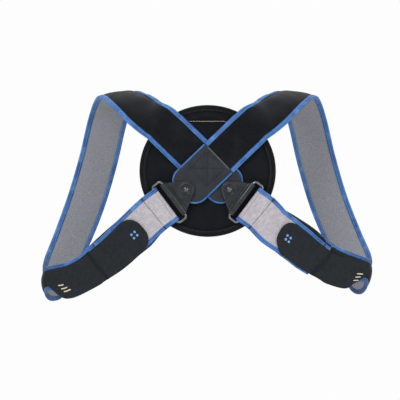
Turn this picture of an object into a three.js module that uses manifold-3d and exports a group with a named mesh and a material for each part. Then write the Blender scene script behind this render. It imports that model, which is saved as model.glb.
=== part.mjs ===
// Clavicle brace in its worn shape: a round back pad, two padded shoulder bands that cross on it,
// and under each arm a fastening band that is folded round a wire ring on a riveted buckle.
//
// Millimetres, +Z up. The wearer looks along +Y, so the outside of the back looks along -Y,
// and the wearer's left is at -X. The origin is the middle of the pad's face on the back.
// A level is the distance from that face to the outside, along -Y.

import * as THREE from 'three';
import { mergeVertices } from 'three/addons/utils/BufferGeometryUtils.js';
import Module from 'manifold-3d';

const wasm = await Module();
wasm.setup();

const { clamp, lerp, smoothstep } = THREE.MathUtils;

// Clearance between pieces that lie on each other
const gap = 0.3;

// Facets round each curved shape; the ones of the plate, tab, label and ring corner are for a quarter
// turn or for the arc that is drawn
const facetCount = {
  pad: 40,
  label: 10,
  tab: 6,
  piping: 5,
  plate: 9,
  barrel: 16,
  bore: 12,
  recess: 20,
  rivet: 12,
  ringCorner: 3,
  wire: 6,
  fold: 6,
};
const leastFacet = 0.1;
const tiny = 1e-6;

// Back pad
const padRadius = 75;
const padHalfHeight = 72.5;
const padThickness = 8;
const padSlopeWidth = 6.2;
const padSlopeDrop = 1.8;
const rimWidth = 6.5;
const rimThickness = 9;
const rimRounding = 1.6;

// Label patch between the shoulder bands
const labelHeight = 6.144;
const labelThickness = 0.8;

// Shoulder bands: a face and a lining, held together by a binding along both edges
const bandWidth = 45;
const bindingThickness = 0.7;
const bindingReach = 5;
const liningThickness = 1;
const faceThickness = 2.6;
const strapAngle = THREE.MathUtils.degToRad(44);
const crossingHeight = 2.4;

// Strap ends that cross on the pad
const tabThickness = 2;
const tabLength = 42;
const tabCornerRadius = 17;
const pipingWidth = 1.8;
const seamFromCrossing = 17;
const flatFromSeam = 9;
const fullFromSeam = 24;
const levelFromSeam = 12;
const loweredBeforeRim = 17;

// Buckle plate and rivet. The crown's columns are shares of the head's radius and height
const noseFromTab = 1;
const rivetHoleRadius = 2.1;
const rivetHeadRadius = 3.2;
const rivetHeadHeight = 1.3;
const rivetCrown = [
  { radius: 1, height: 0.4 },
  { radius: 0.6, height: 0.9 },
  { radius: 0, height: 1 },
];
const plateThickness = 3;
const plateNoseRadius = 9.5;
const plateHalfBase = 21.5;
const plateEdgeRounding = 0.6;
const recessRadius = 6;
const recessDepth = 1;
const buckleSwivel = THREE.MathUtils.degToRad(7.1);

// Barrel of the plate and the wire ring that swings in it
const barrelFromRivet = 17;
const barrelRadius = 3.6;
const barrelHalfLength = 21;
const wireRadius = 1.5;
const wirePlay = 0.4;
const ringHalfLength = 24.5;
const ringDepth = 11.5;
const ringCornerRadius = 3;
const ringLevel = 12.2;

// Fastening band, folded round the wire. It leaves the wire along the rise shares of foldRise
const fasteningWidth = 44;
const webbingThickness = 1.4;
const fasteningEdgeWidth = 3.9;
const fasteningEdgeThickness = 1.8;
const fasteningLength = 100;
const foldRise = 10;
const foldReturn = 17;
const riseShares = [1, 0.7, 0.35];
const straightPull = 16;
const bandFromRing = 20;
const driftStart = 22;
const driftReach = 88;

// Closing strap on the fastening band. Its tip is cut at the tip shares of the tip's radius, and
// there its middle lies that offset below the middle of the band under it
const closingWidth = 36;
const closingThickness = 1.6;
const closingTipRadius = 16;
const closingTipShares = [0, 0.25, 0.5, 0.7, 0.85, 0.95, 1];
const closingTipOffset = 3.7;
const closingStep = 7;

// How far the worn brace reaches from the origin
const armpitReach = 178.5;
const chestDepth = 115;
const crestRise = 84;
const armpitDrop = 127;

// What differs between the two sides, as the wearer has put the brace on. Columns: the strap
// end's layer on the pad; the armpit's lift as a share of armpitLift; as shares of sideSlip,
// the shift of the shoulder band down across the ring and the drift of the fastening band down
// from it; as shares of fasteningLength, how far from the ring the fastening band ends and how
// far from it the closing strap's tip lies.
const armpitLift = 10;
const sideSlip = 10;
const sides = [
  { name: 'left', layer: 0, lift: 0, shift: 0.2, drift: 0.45, bandReach: 1, tipReach: 0.33 },
  { name: 'right', layer: 1, lift: 1, shift: -0.15, drift: 0.95, bandReach: 1.04, tipReach: 0.41 },
].map(({ name, layer, lift, shift, drift, bandReach, tipReach }) => ({
  name,
  layer,
  lift: lift * armpitLift,
  shift: shift * sideSlip,
  drift: drift * sideSlip,
  bandReach: bandReach * fasteningLength,
  tipReach: tipReach * fasteningLength,
}));

// Worked out from the above. The plate's nose stands clear of the strap end that crosses its own
const rivetFromCrossing = bandWidth / 2 + noseFromTab + plateNoseRadius;
const bandThickness = 2 * bindingThickness + liningThickness + faceThickness + 3 * gap;
const foldRadius = wireRadius + gap + fasteningEdgeThickness / 2;
const wireOut = bandThickness + gap / 2;
const fasteningOut = bandThickness + gap + fasteningEdgeThickness / 2;
const returnOut = bandThickness - fasteningEdgeThickness / 2;
const closingOut = fasteningOut + fasteningEdgeThickness / 2 + gap + closingThickness / 2;
const closingLowOut = bandThickness + gap + closingThickness / 2;
const pullAngle = strapAngle - buckleSwivel;

// Route of a shoulder band from the pad's rim over the shoulder, down the chest, round the
// armpit and back to the ring. Columns: side, front and height as shares of armpitReach,
// chestDepth and crestRise (above the origin) or armpitDrop (below it); the outward
// direction; the share of the side's lift; the facets up to the next row.
const route = [
  { side: 0.396, front: 0.065, height: 0.757, outward: [-0.1, -0.78, 0.6], lift: 0, facets: 3 },
  { side: 0.484, front: 0.226, height: 0.895, outward: [-0.08, -0.45, 0.88], lift: 0, facets: 3 },
  { side: 0.552, front: 0.47, height: 0.985, outward: [-0.12, -0.04, 0.98], lift: 0, facets: 3 },
  { side: 0.594, front: 0.705, height: 0.892, outward: [-0.1, 0.55, 0.83], lift: 0, facets: 3 },
  { side: 0.639, front: 0.87, height: 0.627, outward: [-0.18, 0.9, 0.4], lift: 0, facets: 2 },
  { side: 0.695, front: 0.974, height: 0.148, outward: [-0.22, 0.97, 0.08], lift: 0, facets: 1 },
  { side: 0.773, front: 1, height: -0.27, outward: [-0.27, 0.96, -0.04], lift: 0, facets: 2 },
  { side: 0.862, front: 0.974, height: -0.61, outward: [-0.45, 0.88, -0.1], lift: 0.3, facets: 3 },
  { side: 0.935, front: 0.861, height: -0.86, outward: [-0.72, 0.6, -0.35], lift: 0.6, facets: 3 },
  { side: 0.968, front: 0.687, height: -0.985, outward: [-0.9, -0.1, -0.42], lift: 0.75, facets: 3 },
  { side: 0.94, front: 0.496, height: -1, outward: [-0.86, -0.47, -0.1], lift: 1, facets: 3 },
  { side: 0.85, front: 0.304, height: -0.965, outward: [-0.76, -0.62, 0.2], lift: 1.35, facets: 3 },
  { side: 0.732, front: 0.17, height: -0.873, outward: [-0.53, -0.8, 0.26], lift: 1.4, facets: 3 },
  { side: 0.6, front: 0.083, height: -0.718, outward: [-0.28, -0.95, 0.12], lift: 1.35, facets: 2 },
  { side: 0.501, front: 0.026, height: -0.598, outward: [-0.13, -0.99, 0.04], lift: 0.85, facets: 1 },
  { side: 0.408, front: -0.022, height: -0.489, outward: [-0.06, -1, 0], lift: 0.35, facets: 2 },
];
const closingEndRow = 10;

// Seat paths: samples for their length from row to row, and the least distance of two stations
const samplesPerRow = 100;
const stationSpacing = 3;

const finishes = {
  velour: { color: 0x16191d, roughness: 0.95, metalness: 0 },
  lining: { color: 0xa9abb0, roughness: 0.9, metalness: 0 },
  binding: { color: 0x3f78bd, roughness: 0.75, metalness: 0 },
  leatherette: { color: 0x292e34, roughness: 0.6, metalness: 0 },
  plastic: { color: 0x1d2024, roughness: 0.35, metalness: 0 },
  steel: { color: 0x77797c, roughness: 0.3, metalness: 1 },
  webbing: { color: 0xc5bec5, roughness: 0.85, metalness: 0 },
  closing: { color: 0x14171a, roughness: 0.9, metalness: 0 },
  label: { color: 0x101214, roughness: 0.5, metalness: 0 },
};

function piece(name, geometry, finish) {
  const mesh = new THREE.Mesh(geometry, new THREE.MeshStandardMaterial(finishes[finish]));
  mesh.name = name;
  return mesh;
}

function toSolid(geometry) {
  const bare = geometry.clone();
  bare.deleteAttribute('normal');
  bare.deleteAttribute('uv');
  const merged = mergeVertices(bare);
  return new wasm.Manifold(new wasm.Mesh({
    numProp: 3,
    vertProperties: merged.attributes.position.array,
    triVerts: new Uint32Array(merged.index.array),
  }));
}

function toGeometry(solid) {
  const mesh = solid.getMesh();
  const geometry = new THREE.BufferGeometry();
  geometry.setAttribute('position', new THREE.BufferAttribute(mesh.vertProperties, 3));
  geometry.setIndex(new THREE.BufferAttribute(mesh.triVerts, 1));
  return geometry;
}

// A drawing seen from behind the wearer, thickened to the outside from its level
function faceOn(shape, thickness, level, curveSegments) {
  const options = { depth: thickness, bevelEnabled: false, curveSegments };
  return new THREE.ExtrudeGeometry(shape, options).rotateX(Math.PI / 2).translate(0, -level, 0);
}

// A solid of revolution about the Y axis, its profile given as [radius, level] pairs
function turned(profile, facets) {
  const points = profile.map(([radius, level]) => new THREE.Vector2(radius, level));
  return new THREE.LatheGeometry(points, facets).rotateX(Math.PI);
}

// Back pad and label

function flatten(geometry) {
  return geometry.scale(1, 1, padHalfHeight / padRadius);
}

function padPanel() {
  const edge = padRadius - rimWidth - gap;
  return flatten(turned([
    [0, 0],
    [edge, 0],
    [edge, padThickness - padSlopeDrop],
    [edge - padSlopeWidth, padThickness],
    [0, padThickness],
  ], facetCount.pad));
}

function padRim() {
  const inner = padRadius - rimWidth;
  return flatten(turned([
    [inner, 0],
    [padRadius - rimRounding, 0],
    [padRadius, rimRounding],
    [padRadius, rimThickness - rimRounding],
    [padRadius - rimRounding, rimThickness],
    [inner + rimRounding, rimThickness],
    [inner, rimThickness - rimRounding],
    [inner, 0],
  ], facetCount.pad));
}

// The label fills the top of the pad's flat, between the two bands
function padLabel() {
  const flatRadius = padRadius - rimWidth - gap - padSlopeWidth - gap;
  const radius = flatRadius * padHalfHeight / padRadius;
  const labelFoot = radius - labelHeight;
  const edgeDistance = bandWidth / 2 + 2 * gap;
  const slope = new THREE.Vector2(Math.cos(strapAngle), Math.sin(strapAngle));
  const bandLine = (height) => (height - crossingHeight - edgeDistance / slope.x) * (slope.x / slope.y);
  const footHalf = bandLine(labelFoot);
  const offset = footHalf * slope.x + labelFoot * slope.y;
  const run = Math.sqrt(offset ** 2 + radius ** 2 - footHalf ** 2 - labelFoot ** 2) - offset;
  const topHalf = footHalf + run * slope.x;
  const top = labelFoot + run * slope.y;
  const shape = new THREE.Shape();
  shape.moveTo(-footHalf, labelFoot);
  shape.lineTo(footHalf, labelFoot);
  shape.lineTo(topHalf, top);
  shape.absarc(0, 0, radius, Math.atan2(top, topHalf), Math.atan2(top, -topHalf), false);
  return faceOn(shape, labelThickness, padThickness + gap, facetCount.label);
}

// The line on the wearer and the pad that a band lies on, with its outward direction
class SeatPath {
  constructor(rows) {
    this.facets = rows.map((row) => row.facets);
    this.curve = new THREE.CatmullRomCurve3(rows.map((row) => row.position), false, 'catmullrom');
    this.curve.arcLengthDivisions = samplesPerRow * (rows.length - 1);
    this.outwards = new THREE.CatmullRomCurve3(rows.map((row) => row.outward), false, 'catmullrom');
    this.length = this.curve.getLength();
  }

  distanceOfRow(row) {
    return this.curve.getLengths()[Math.round(samplesPerRow * row)];
  }

  frameAt(distance) {
    const inside = clamp(distance, 0, this.length);
    const t = this.curve.getUtoTmapping(0, inside);
    const along = this.curve.getTangent(t);
    const outward = this.outwards.getPoint(t);
    outward.addScaledVector(along, -outward.dot(along)).normalize();
    const across = new THREE.Vector3().crossVectors(along, outward);
    const seat = this.curve.getPoint(t).addScaledVector(along, distance - inside);
    return { seat, along, outward, across };
  }

  // The stations that every layer on this path shares, with the given ends among them
  stations(ends) {
    const marks = [];
    this.facets.slice(0, -1).forEach((count, row) => {
      for (let step = 0; step < count; step += 1) {
        marks.push(this.distanceOfRow(row + step / count));
      }
    });
    const spaced = marks.filter((mark) => ends.every((end) => Math.abs(end - mark) > stationSpacing));
    return [...spaced, ...ends].sort((a, b) => a - b);
  }
}

function between(stations, start, end) {
  return stations.filter((station) => station > start - tiny && station < end + tiny);
}

// A closed solid through outlines drawn in (across, out). Facets are split the same way on
// every face, so that layers a gap apart stay apart where the band twists.
function loft(rings, outline) {
  const count = outline.length;
  const index = [];
  for (let ring = 0; ring + 1 < rings.length; ring += 1) {
    for (let i = 0; i < count; i += 1) {
      const next = (i + 1) % count;
      const a = ring * count + i;
      const b = ring * count + next;
      if (outline[next].x > outline[i].x) {
        index.push(a, b + count, b, a, a + count, b + count);
      } else {
        index.push(a, a + count, b, b, a + count, b + count);
      }
    }
  }
  const last = (rings.length - 1) * count;
  for (const [a, b, c] of THREE.ShapeUtils.triangulateShape(outline, [])) {
    index.push(a, b, c, last + a, last + c, last + b);
  }
  const geometry = new THREE.BufferGeometry().setFromPoints(rings.flat());
  geometry.setIndex(index);
  return geometry;
}

// A flat section, cut where the bindings begin
function slab(low, high, bottom, top) {
  const cut = bandWidth / 2 - bindingReach;
  const inner = [-cut, cut].map((line) => clamp(line, low + leastFacet, high - leastFacet));
  const acrosses = [low, ...inner, high];
  return [
    ...acrosses.map((across) => new THREE.Vector2(across, bottom)),
    ...acrosses.reverse().map((across) => new THREE.Vector2(across, top)),
  ];
}

function plainSlab(low, high, bottom, top) {
  return [[low, bottom], [high, bottom], [high, top], [low, top]].map((p) => new THREE.Vector2(...p));
}

// The fold of a binding over one edge of the band; side is +1 or -1 across
function bindingFold(side) {
  const edge = bandWidth / 2;
  const leg = edge - bindingReach;
  const wall = edge - bindingThickness;
  const corners = [
    [leg, 0],
    [edge, 0],
    [edge, bandThickness],
    [leg, bandThickness],
    [leg, bandThickness - bindingThickness],
    [wall, bandThickness - bindingThickness],
    [wall, bindingThickness],
    [leg, bindingThickness],
  ].map(([across, out]) => new THREE.Vector2(side * across, out));
  return side > 0 ? corners : corners.reverse();
}

// A ribbon whose outline is the same all along but for a thickness share
function ribbon(path, stations, outline, shareAt) {
  const rings = stations.map((distance) => {
    const { seat, across, outward } = path.frameAt(distance);
    const share = shareAt(distance);
    return outline.map((point) => seat.clone()
      .addScaledVector(across, point.x)
      .addScaledVector(outward, share * point.y));
  });
  return loft(rings, outline);
}

// A ribbon along a middle line in (distance, out), turned about its width where it folds
function foldedRibbon(path, middle, outlineAt) {
  const outlines = middle.map(outlineAt);
  const rings = middle.map(({ distance, out, turn }, i) => {
    const { seat, along, across, outward } = path.frameAt(distance);
    const facing = outward.clone().multiplyScalar(Math.cos(turn)).addScaledVector(along, Math.sin(turn));
    return outlines[i].map((point) => seat.clone()
      .addScaledVector(outward, out)
      .addScaledVector(across, point.x)
      .addScaledVector(facing, point.y));
  });
  return loft(rings, outlines[0]);
}

// Places on the pad that both the path and the buckle start from

function onStrap(distance) {
  return new THREE.Vector3(
    -distance * Math.cos(strapAngle),
    0,
    crossingHeight + distance * Math.sin(strapAngle),
  );
}

function rivetPlace() {
  return new THREE.Vector3(
    -rivetFromCrossing * Math.cos(strapAngle),
    0,
    crossingHeight - rivetFromCrossing * Math.sin(strapAngle),
  );
}

// A place that many millimetres from the rivet, and a sidestep down across the pull
function alongPull(distance, sidestep) {
  const pull = new THREE.Vector3(-Math.cos(pullAngle), 0, -Math.sin(pullAngle));
  const down = new THREE.Vector3(Math.sin(pullAngle), 0, -Math.cos(pullAngle));
  return rivetPlace().addScaledVector(pull, distance).addScaledVector(down, sidestep);
}

function strapLevel(layer) {
  return padThickness + gap + layer * (tabThickness + gap);
}

function padRow(place, level, facets) {
  const position = place.clone();
  position.y = -level;
  return { position, outward: new THREE.Vector3(0, -1, 0), facets };
}

function seatRows(side) {
  const level = strapLevel(side.layer);
  const rimLevel = rimThickness + gap;
  const rimStart = padRadius - 2 * rimWidth;
  const upper = [
    padRow(onStrap(seamFromCrossing), level, 2),
    padRow(onStrap(seamFromCrossing + levelFromSeam), level, 3),
    padRow(onStrap(rimStart - loweredBeforeRim), strapLevel(0), 1),
    padRow(onStrap(rimStart), rimLevel, 1),
    padRow(onStrap(padRadius - rimRounding), rimLevel, 2),
  ];
  const worn = route.map((row) => ({
    position: new THREE.Vector3(
      -row.side * armpitReach,
      row.front * chestDepth,
      row.height * (row.height > 0 ? crestRise : armpitDrop) + row.lift * side.lift,
    ),
    outward: new THREE.Vector3(...row.outward).normalize(),
    facets: row.facets,
  }));
  const seatLevel = ringLevel - wireOut;
  const ringAxis = barrelFromRivet + ringDepth;
  const lower = [
    padRow(alongPull(ringAxis + straightPull, side.shift), seatLevel, 1),
    padRow(alongPull(ringAxis, side.shift), seatLevel, 1),
  ];
  return { rows: [...upper, ...worn, ...lower], firstWorn: upper.length };
}

// Shoulder band, pressed flat at the seam to the strap end

function shoulderBand(side, path, stations) {
  const edge = bandWidth / 2 - bindingThickness - gap;
  const liningOut = bindingThickness + gap;
  const faceOut = liningOut + liningThickness + gap;
  const pressed = tabThickness / bandThickness;
  const used = between(stations, 0, path.length - bandFromRing);
  const shareAt = (distance) => lerp(pressed, 1, smoothstep(distance, flatFromSeam, fullFromSeam));
  const layer = (bottom, thickness) => slab(-edge, edge, bottom, bottom + thickness);
  const make = (outline) => ribbon(path, used, outline, shareAt);
  return [
    piece(`${side.name}_shoulder_band`, make(layer(faceOut, faceThickness)), 'velour'),
    piece(`${side.name}_band_lining`, make(layer(liningOut, liningThickness)), 'lining'),
    piece(`${side.name}_band_binding_inner`, make(bindingFold(1)), 'binding'),
    piece(`${side.name}_band_binding_outer`, make(bindingFold(-1)), 'binding'),
  ];
}

// Strap end and piping, drawn with the band's direction along +X from the crossing

function tabOutline(margin) {
  const half = bandWidth / 2 - margin;
  const tip = -(tabLength - margin);
  const corner = tabCornerRadius - margin;
  const shape = new THREE.Shape();
  const root = seamFromCrossing - gap;
  shape.moveTo(root, -half);
  shape.lineTo(root, half);
  shape.lineTo(tip + corner, half);
  shape.absarc(tip + corner, half - corner, corner, Math.PI / 2, Math.PI, false);
  shape.absarc(tip + corner, corner - half, corner, Math.PI, 1.5 * Math.PI, false);
  shape.lineTo(root, -half);
  return shape;
}

function strapEnd(side) {
  const core = tabOutline(pipingWidth + gap);
  const hole = new THREE.Path();
  hole.absarc(-rivetFromCrossing, 0, rivetHoleRadius, 0, 2 * Math.PI, true);
  core.holes.push(hole);
  const inner = tabOutline(pipingWidth).getPoints(facetCount.piping).slice(1, -1);
  const outer = tabOutline(0).getPoints(facetCount.piping).slice(1, -1);
  const pipingShape = new THREE.Shape([...outer, ...inner.reverse()]);
  const level = strapLevel(side.layer);
  const group = new THREE.Group();
  const tab = faceOn(core, tabThickness, level, facetCount.tab);
  const piping = faceOn(pipingShape, tabThickness, level, facetCount.piping);
  group.add(piece(`${side.name}_strap_end`, tab, 'leatherette'));
  group.add(piece(`${side.name}_strap_end_piping`, piping, 'binding'));
  group.position.z = crossingHeight;
  group.rotation.y = strapAngle - Math.PI;
  return group;
}

// Buckle, drawn with the pull of the fastening band along +X from the rivet

function plateOutline() {
  const base = barrelFromRivet;
  const lean = Math.atan2(plateHalfBase, base);
  const reach = Math.hypot(plateHalfBase, base);
  const touch = lean + Math.acos(plateNoseRadius / reach);
  const shape = new THREE.Shape();
  shape.moveTo(base, -plateHalfBase);
  shape.lineTo(base, plateHalfBase);
  shape.absarc(0, 0, plateNoseRadius, touch, 2 * Math.PI - touch, false);
  shape.closePath();
  return shape;
}

function barrel(radius, halfLength, facets) {
  return new THREE.CylinderGeometry(radius, radius, 2 * halfLength, facets).rotateX(Math.PI / 2)
    .translate(barrelFromRivet, 0, 0);
}

function upright(radius, bottom, height, facets) {
  return new THREE.CylinderGeometry(radius, radius, height, facets).translate(0, -bottom - height / 2, 0);
}

function bucklePlate(level) {
  const middle = level + plateThickness / 2;
  const depth = plateThickness - 2 * plateEdgeRounding;
  const options = {
    depth,
    bevelThickness: plateEdgeRounding,
    bevelSize: plateEdgeRounding,
    bevelOffset: -plateEdgeRounding,
    bevelSegments: 1,
    curveSegments: facetCount.plate,
  };
  const sheet = new THREE.ExtrudeGeometry(plateOutline(), options).rotateX(Math.PI / 2)
    .translate(0, -level - plateEdgeRounding, 0);
  const tube = barrel(barrelRadius, barrelHalfLength, facetCount.barrel).translate(0, -middle, 0);
  const bore = barrel(wireRadius + wirePlay, plateHalfBase + gap, facetCount.bore).translate(0, -middle, 0);
  const recessFloor = level + plateThickness - recessDepth;
  const recess = upright(recessRadius, recessFloor, 2 * recessDepth, facetCount.recess);
  const hole = upright(rivetHoleRadius, level - plateThickness, 3 * plateThickness, facetCount.rivet);
  const cutters = [bore, recess, hole].map(toSolid);
  const solid = cutters.reduce((rest, cutter) => rest.subtract(cutter), toSolid(sheet).add(toSolid(tube)));
  return toGeometry(solid);
}

function rivet(tabLevel, plateLevel) {
  const shank = rivetHoleRadius - gap;
  const floor = plateLevel + plateThickness - recessDepth + gap;
  return turned([
    [0, tabLevel],
    [shank, tabLevel],
    [shank, floor],
    [rivetHeadRadius, floor],
    ...rivetCrown.map(({ radius, height }) => [radius * rivetHeadRadius, floor + height * rivetHeadHeight]),
  ], facetCount.rivet);
}

// A round wire bent to a closed rectangle with round corners; one long side runs in the barrel
function ringWire(plateLevel) {
  const axisLevel = plateLevel + plateThickness / 2;
  const drop = axisLevel - ringLevel;
  const depth = Math.hypot(ringDepth, drop);
  const outline = new THREE.Shape();
  const corner = ringCornerRadius;
  const corners = [[depth, 1, 0], [0, 1, 1], [0, -1, 2], [depth, -1, 3]];
  corners.forEach(([x, sign, quarter]) => {
    const centreX = x > 0 ? depth - corner : corner;
    const start = quarter * Math.PI / 2;
    outline.absarc(centreX, sign * (ringHalfLength - corner), corner, start, start + Math.PI / 2, false);
  });
  const path = outline.getPoints(facetCount.ringCorner);
  const ringPoints = path.filter((point, i) => point.distanceTo(path.at(i - 1)) > tiny);
  const rings = ringPoints.map((point, i) => {
    const before = ringPoints.at(i - 1);
    const after = ringPoints[(i + 1) % ringPoints.length];
    const run = after.clone().sub(before).normalize();
    const section = [];
    for (let k = 0; k < facetCount.wire; k += 1) {
      const angle = 2 * Math.PI * k / facetCount.wire;
      section.push(new THREE.Vector3(
        point.x + wireRadius * Math.cos(angle) * run.y,
        wireRadius * Math.sin(angle),
        point.y - wireRadius * Math.cos(angle) * run.x,
      ));
    }
    return section;
  });
  const geometry = closedLoft(rings);
  return geometry.rotateZ(Math.atan2(drop, ringDepth)).translate(barrelFromRivet, -axisLevel, 0);
}

function closedLoft(rings) {
  const count = rings[0].length;
  const total = rings.length * count;
  const index = [];
  for (let ring = 0; ring < rings.length; ring += 1) {
    for (let i = 0; i < count; i += 1) {
      const a = ring * count + i;
      const b = ring * count + (i + 1) % count;
      const c = (a + count) % total;
      const d = (b + count) % total;
      index.push(a, b, d, a, d, c);
    }
  }
  const geometry = new THREE.BufferGeometry().setFromPoints(rings.flat());
  geometry.setIndex(index);
  return geometry;
}

function buckle(side) {
  const tabLevel = strapLevel(1 - side.layer);
  const plateLevel = tabLevel + tabThickness + gap;
  const group = new THREE.Group();
  group.add(piece(`${side.name}_buckle_plate`, bucklePlate(plateLevel), 'plastic'));
  group.add(piece(`${side.name}_buckle_rivet`, rivet(tabLevel, plateLevel), 'steel'));
  group.add(piece(`${side.name}_buckle_ring`, ringWire(plateLevel), 'steel'));
  group.position.copy(rivetPlace());
  group.rotation.y = Math.PI - pullAngle;
  return group;
}

// Fastening band and closing strap

function driftAt(side, reach) {
  return side.drift * smoothstep(reach, driftStart, driftReach) - side.shift;
}

function fasteningMiddle(side, path, stations) {
  const rise = (share, foldOut, layerOut, turn) => ({
    distance: path.length - share * foldRise,
    out: lerp(foldOut, layerOut, smoothstep(share, 0, 1)),
    turn,
  });
  const riseStart = path.length - foldRise - stationSpacing;
  const top = between(stations, path.length - side.bandReach, riseStart);
  const middle = top.map((distance) => ({ distance, out: fasteningOut, turn: 0 }));
  for (const share of riseShares) {
    middle.push(rise(share, wireOut + foldRadius, fasteningOut, 0));
  }
  for (let step = 0; step <= facetCount.fold; step += 1) {
    const turn = Math.PI * step / facetCount.fold;
    middle.push({
      distance: path.length + foldRadius * Math.sin(turn),
      out: wireOut + foldRadius * Math.cos(turn),
      turn,
    });
  }
  for (const share of riseShares.toReversed()) {
    middle.push(rise(share, wireOut - foldRadius, returnOut, Math.PI));
  }
  middle.push({ distance: path.length - foldReturn, out: returnOut, turn: Math.PI });
  return middle;
}

function fasteningBand(side, path, stations) {
  const half = fasteningWidth / 2;
  const core = half - fasteningEdgeWidth - gap;
  const middle = fasteningMiddle(side, path, stations);
  const strip = (section, low, high, thickness) => foldedRibbon(path, middle, ({ distance }) => {
    const drift = driftAt(side, path.length - distance);
    return section(low + drift, high + drift, -thickness / 2, thickness / 2);
  });
  const edgeLow = half - fasteningEdgeWidth;
  const edging = (low, high) => strip(plainSlab, low, high, fasteningEdgeThickness);
  return [
    piece(`${side.name}_fastening_band`, strip(slab, -core, core, webbingThickness), 'webbing'),
    piece(`${side.name}_fastening_binding_lower`, edging(edgeLow, half), 'binding'),
    piece(`${side.name}_fastening_binding_upper`, edging(-half, -edgeLow), 'binding'),
  ];
}

function closingStrap(side, path, stations, end) {
  const tip = path.length - side.tipReach;
  const fasteningEnd = path.length - side.bandReach;
  const straight = between(stations, end, tip - closingTipRadius);
  const rounded = closingTipShares.map((share) => tip - closingTipRadius * (1 - share));
  const middle = [...straight, ...rounded].map((distance) => {
    const up = smoothstep(distance, fasteningEnd - gap - closingStep, fasteningEnd - gap);
    return { distance, out: lerp(closingLowOut, closingOut, up), turn: 0 };
  });
  const geometry = foldedRibbon(path, middle, ({ distance }) => {
    const aside = smoothstep(distance, end, fasteningEnd);
    const centre = aside * (closingTipOffset + driftAt(side, path.length - distance));
    const inCurve = Math.max(0, closingTipRadius - (tip - distance));
    const narrowing = closingTipRadius - Math.sqrt(closingTipRadius ** 2 - inCurve ** 2);
    const half = closingWidth / 2 - narrowing;
    return slab(centre - half, centre + half, -closingThickness / 2, closingThickness / 2);
  });
  return piece(`${side.name}_closing_strap`, geometry, 'closing');
}

function buildSide(side) {
  const { rows, firstWorn } = seatRows(side);
  const path = new SeatPath(rows);
  const closingEnd = path.distanceOfRow(firstWorn + closingEndRow);
  const fasteningEnd = path.length - side.bandReach;
  const stations = path.stations([
    0,
    flatFromSeam,
    fullFromSeam,
    closingEnd,
    fasteningEnd - gap - closingStep,
    fasteningEnd - gap,
    fasteningEnd,
    path.length - bandFromRing,
  ]);
  const group = new THREE.Group();
  group.add(...shoulderBand(side, path, stations));
  group.add(strapEnd(side));
  group.add(buckle(side));
  group.add(...fasteningBand(side, path, stations));
  group.add(closingStrap(side, path, stations, closingEnd));
  return group;
}

const brace = new THREE.Group();
brace.name = 'clavicle_brace';
brace.add(piece('back_pad', padPanel(), 'velour'));
brace.add(piece('back_pad_rim', padRim(), 'velour'));
brace.add(piece('pad_label', padLabel(), 'label'));
const [leftSide, rightSide] = sides.map(buildSide);
rightSide.scale.x = -1;
brace.add(leftSide, rightSide);

export default brace;
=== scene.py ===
import math

import bpy
import numpy as np
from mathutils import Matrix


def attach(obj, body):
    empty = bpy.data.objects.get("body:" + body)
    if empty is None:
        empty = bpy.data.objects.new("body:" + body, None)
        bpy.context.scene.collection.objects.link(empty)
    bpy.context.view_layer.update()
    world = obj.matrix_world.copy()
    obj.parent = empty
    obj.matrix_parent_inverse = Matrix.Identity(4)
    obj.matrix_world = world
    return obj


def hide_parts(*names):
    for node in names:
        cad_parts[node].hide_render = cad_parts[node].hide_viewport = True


# The soft forms and finishes of a clavicle brace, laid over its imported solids.
# Lengths are millimetres until a piece becomes a mesh, which is in metres.

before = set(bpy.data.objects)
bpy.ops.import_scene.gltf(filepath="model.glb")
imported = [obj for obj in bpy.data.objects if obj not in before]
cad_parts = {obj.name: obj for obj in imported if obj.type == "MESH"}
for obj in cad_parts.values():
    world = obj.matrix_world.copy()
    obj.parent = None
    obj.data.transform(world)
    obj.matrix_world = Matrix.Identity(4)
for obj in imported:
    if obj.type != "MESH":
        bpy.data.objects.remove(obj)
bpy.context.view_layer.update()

# Camera: straight from behind, 440 mm across at the pad
VIEW_WIDTH = 440
VIEW_DISTANCE = 3000
VIEW_CENTRE = (-8.4, -31.9)
SENSOR = 36
FLOOR_LEVEL = -0.32
FLOOR_RADIUS = 0.9

# Sizes of the brace
GAP = 0.3
PAD_RADIUS = 75
PAD_HALF_HEIGHT = 72.5
PAD_THICKNESS = 8
RIM_WIDTH = 6.5
RIM_THICKNESS = 9
RIM_ROUNDING = 1.6
PANEL_EDGE = 5.6
PANEL_RISE = 2.3
PANEL_DOME = 1.1
LABEL_FOOT = 53.5
LABEL_ARC = 59.64
LABEL_FOOT_HALF = 19.6
LABEL_TOP_HALF = 21.7
BAND_WIDTH = 45
BAND_THICKNESS = 5.9
BAND_MIDDLE = 2.95
BINDING_REACH = 5
BINDING_HALF = 2.3
FACE_HALF = 20.9
UNDER_HALF = 18
SWELL_HALF = 17.9
STRAP_ANGLE = math.radians(44)
CROSSING_HEIGHT = 2.4
TAB_THICKNESS = 2
TAB_LENGTH = 42
TAB_CORNER = 17
PIPING_WIDTH = 1.8
PIPING_HALF = 1.15
SEAM = 17
BOX_HALF = 13.5
CROSS_HALF = 13
RIVET_FROM_CROSSING = 33
PLATE_THICKNESS = 3
PLATE_NOSE = 9.5
PLATE_HALF_BASE = 21.5
RECESS_LIP = 7.6
PULL_ANGLE = math.radians(44 - 7.1)
BARREL_PLACE = 17
BARREL_RADIUS = 3.6
BARREL_HALF = 21
WIRE_RADIUS = 1.5
RING_HALF = 24.5
RING_DEPTH = 11.5
RING_CORNER = 3
RING_LEVEL = 12.2
WEB_WIDTH = 44
WEB_EDGE_WIDTH = 4.9
WEB_EDGE_THICKNESS = 1.8
WEB_SEAM = 15
FOLD_RISE = 10
FOLD_RETURN = 17
BAND_FROM_RING = 20
DRIFT_START = 22
DRIFT_REACH = 88
CLOSING_UPPER = 17.1
CLOSING_THICKNESS = 1.6
CLOSING_TIP = 16
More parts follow.
